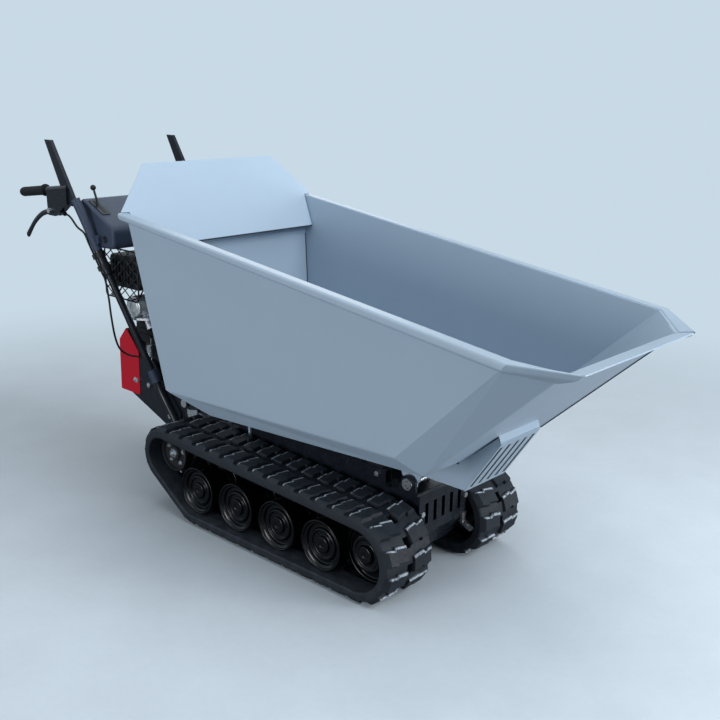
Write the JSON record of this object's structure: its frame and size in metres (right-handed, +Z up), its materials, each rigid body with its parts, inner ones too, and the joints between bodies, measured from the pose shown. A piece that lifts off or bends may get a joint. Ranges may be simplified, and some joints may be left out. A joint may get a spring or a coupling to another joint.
{
  "type": "tracked power carrier",
  "caption": "Walk-behind crawler barrow with rubber tracks, a tipping grey tub with headboard, handlebars with steering levers and a small engine.",
  "frame": {"origin": "on the ground under the middle of the whole length and width", "axes": "+X forward over the tub's lip, +Y to the driver's left, +Z up"},
  "size_m": [2.1333, 0.748, 1.068],
  "materials": {
    "frame_black": "gloss black paint",
    "zinc": "bright zinc plating",
    "axle_steel": "plain turned steel",
    "black_rubber": "matt moulded rubber",
    "track_rubber": "dusty tread rubber",
    "gearbox_black": "satin black paint on castings",
    "sprocket_iron": "dark worn iron",
    "wheel_black": "black moulded plastic",
    "tub_grey": "satin silver-grey paint",
    "cable_black": "black cable sheath",
    "console_slate": "dark slate plastic",
    "knob_black": "black plastic",
    "engine_alloy": "cast alloy",
    "muffler_black": "heat-proof black paint",
    "tank_black": "black enamel",
    "pulley_steel": "turned steel",
    "cover_red": "gloss red paint"
  },
  "bodies": {
    "chassis": {"main_frame": "frame_black", "front_bumper": "frame_black", "tow_tabs": "zinc", "wheel_axles": "axle_steel", "idler_tensioners": "axle_steel", "saddle_rails": "frame_black", "saddle_pads": "black_rubber", "hinge_pin": "zinc", "gearbox": "gearbox_black", "zinc_bolts": "zinc", "latch_guide": "zinc", "track_left": "track_rubber", "track_right": "track_rubber", "handle_tube_left": "frame_black", "handle_tube_right": "frame_black", "post_left": "frame_black", "post_right": "frame_black", "grip_left": "black_rubber", "grip_right": "black_rubber", "cable_left": "cable_black", "cable_right": "cable_black", "cable_clamps": "cable_black", "console": "console_slate", "crankcase": "engine_alloy", "cylinder": "engine_alloy", "muffler": "muffler_black", "air_cleaner": "knob_black", "fuel_tank": "tank_black", "recoil_housing": "tank_black", "plug_cap": "black_rubber", "drive_belt": "black_rubber", "belt_spring": "zinc", "rear_cover": "cover_red"},
    "tub": {"tub_shell": "tub_grey", "tub_rim": "tub_grey", "headboard": "tub_grey", "tub_runners": "tub_grey", "nose_plate": "tub_grey", "latch_catch": "tub_grey"},
    "latch": {"latch_bolt": "zinc"},
    "sprocket_left": {"sprocket_left": "sprocket_iron"},
    "wheel_left_1": {"wheel_left_1": "wheel_black"},
    "wheel_left_2": {"wheel_left_2": "wheel_black"},
    "wheel_left_3": {"wheel_left_3": "wheel_black"},
    "wheel_left_4": {"wheel_left_4": "wheel_black"},
    "idler_left": {"idler_left": "wheel_black"},
    "lever_left": {"lever_left": "frame_black"},
    "sprocket_right": {"sprocket_right": "sprocket_iron"},
    "wheel_right_1": {"wheel_right_1": "wheel_black"},
    "wheel_right_2": {"wheel_right_2": "wheel_black"},
    "wheel_right_3": {"wheel_right_3": "wheel_black"},
    "wheel_right_4": {"wheel_right_4": "wheel_black"},
    "idler_right": {"idler_right": "wheel_black"},
    "lever_right": {"lever_right": "frame_black"},
    "throttle_lever": {"throttle_lever": "knob_black"},
    "shift_lever": {"shift_lever": "knob_black"},
    "fuel_cap": {"fuel_cap": "knob_black"},
    "starter_handle": {"starter_handle": "knob_black"},
    "driven_pulley": {"driven_pulley": "pulley_steel"},
    "engine_pulley": {"engine_pulley": "pulley_steel"}
  },
  "joints": [
    {"name": "tub_tip", "type": "hinge", "parent": "chassis", "child": "tub", "pos_m": [0.49665, 0, 0.272], "axis": [0, 1, 0], "range_deg": [0, 55]},
    {"name": "latch_slide", "type": "slide", "parent": "chassis", "child": "latch", "axis": [1, 0, 0], "range_m": [0, 0.035]},
    {"name": "sprocket_left_spin", "type": "hinge", "parent": "chassis", "child": "sprocket_left", "pos_m": [-0.29885, 0.197, 0.1775], "axis": [0, 1, 0], "continuous": true},
    {"name": "wheel_left_1_spin", "type": "hinge", "parent": "chassis", "child": "wheel_left_1", "pos_m": [-0.16035, 0.197, 0.1033], "axis": [0, 1, 0], "continuous": true},
    {"name": "wheel_left_2_spin", "type": "hinge", "parent": "chassis", "child": "wheel_left_2", "pos_m": [0.00795, 0.197, 0.1033], "axis": [0, 1, 0], "continuous": true},
    {"name": "wheel_left_3_spin", "type": "hinge", "parent": "chassis", "child": "wheel_left_3", "pos_m": [0.17625, 0.197, 0.1033], "axis": [0, 1, 0], "continuous": true},
    {"name": "wheel_left_4_spin", "type": "hinge", "parent": "chassis", "child": "wheel_left_4", "pos_m": [0.34455, 0.197, 0.1033], "axis": [0, 1, 0], "continuous": true},
    {"name": "idler_left_spin", "type": "hinge", "parent": "chassis", "child": "idler_left", "pos_m": [0.48365, 0.197, 0.1173], "axis": [0, 1, 0], "continuous": true},
    {"name": "lever_left_pull", "type": "hinge", "parent": "chassis", "child": "lever_left", "pos_m": [-0.88235, 0.238, 0.848], "axis": [0, 1, 0], "range_deg": [0, 20], "stiffness_Nm_per_rad": 4, "springref_deg": -8.59},
    {"name": "sprocket_right_spin", "type": "hinge", "parent": "chassis", "child": "sprocket_right", "pos_m": [-0.29885, -0.197, 0.1775], "axis": [0, 1, 0], "continuous": true},
    {"name": "wheel_right_1_spin", "type": "hinge", "parent": "chassis", "child": "wheel_right_1", "pos_m": [-0.16035, -0.197, 0.1033], "axis": [0, 1, 0], "continuous": true},
    {"name": "wheel_right_2_spin", "type": "hinge", "parent": "chassis", "child": "wheel_right_2", "pos_m": [0.00795, -0.197, 0.1033], "axis": [0, 1, 0], "continuous": true},
    {"name": "wheel_right_3_spin", "type": "hinge", "parent": "chassis", "child": "wheel_right_3", "pos_m": [0.17625, -0.197, 0.1033], "axis": [0, 1, 0], "continuous": true},
    {"name": "wheel_right_4_spin", "type": "hinge", "parent": "chassis", "child": "wheel_right_4", "pos_m": [0.34455, -0.197, 0.1033], "axis": [0, 1, 0], "continuous": true},
    {"name": "idler_right_spin", "type": "hinge", "parent": "chassis", "child": "idler_right", "pos_m": [0.48365, -0.197, 0.1173], "axis": [0, 1, 0], "continuous": true},
    {"name": "lever_right_pull", "type": "hinge", "parent": "chassis", "child": "lever_right", "pos_m": [-0.88235, -0.238, 0.848], "axis": [0, 1, 0], "range_deg": [0, 20], "stiffness_Nm_per_rad": 4, "springref_deg": -8.59},
    {"name": "throttle_lever_turn", "type": "hinge", "parent": "chassis", "child": "throttle_lever", "pos_m": [-0.72835, -0.168, 0.838], "axis": [0, 1, 0], "range_deg": [-12, 20]},
    {"name": "shift_lever_turn", "type": "hinge", "parent": "chassis", "child": "shift_lever", "pos_m": [-0.72835, 0.06, 0.838], "axis": [0, 1, 0], "range_deg": [-14, 14]},
    {"name": "fuel_cap_turn", "type": "hinge", "parent": "chassis", "child": "fuel_cap", "pos_m": [-0.61035, 0.06, 0.709], "axis": [0, 0, 1], "range_deg": [0, 90]},
    {"name": "starter_pull", "type": "slide", "parent": "chassis", "child": "starter_handle", "axis": [-0.7071, 0, 0.7071], "range_m": [0, 0.45], "stiffness_N_per_m": 20, "springref_m": -0.2},
    {"name": "driven_pulley_spin", "type": "hinge", "parent": "chassis", "child": "driven_pulley", "pos_m": [-0.39635, -0.082, 0.395], "axis": [0, 1, 0], "continuous": true},
    {"name": "engine_pulley_spin", "type": "hinge", "parent": "chassis", "child": "engine_pulley", "pos_m": [-0.58035, -0.082, 0.41], "axis": [0, 1, 0], "continuous": true}
  ],
  "couplings": [
    {"joint": "wheel_left_1_spin", "follows": "sprocket_left_spin", "ratio": 0.81508},
    {"joint": "wheel_left_2_spin", "follows": "sprocket_left_spin", "ratio": 0.81508},
    {"joint": "wheel_left_3_spin", "follows": "sprocket_left_spin", "ratio": 0.81508},
    {"joint": "wheel_left_4_spin", "follows": "sprocket_left_spin", "ratio": 0.81508},
    {"joint": "idler_left_spin", "follows": "sprocket_left_spin", "ratio": 0.67972},
    {"joint": "wheel_right_1_spin", "follows": "sprocket_right_spin", "ratio": 0.81508},
    {"joint": "wheel_right_2_spin", "follows": "sprocket_right_spin", "ratio": 0.81508},
    {"joint": "wheel_right_3_spin", "follows": "sprocket_right_spin", "ratio": 0.81508},
    {"joint": "wheel_right_4_spin", "follows": "sprocket_right_spin", "ratio": 0.81508},
    {"joint": "idler_right_spin", "follows": "sprocket_right_spin", "ratio": 0.67972},
    {"joint": "engine_pulley_spin", "follows": "driven_pulley_spin", "ratio": 1.4805}
  ]
}
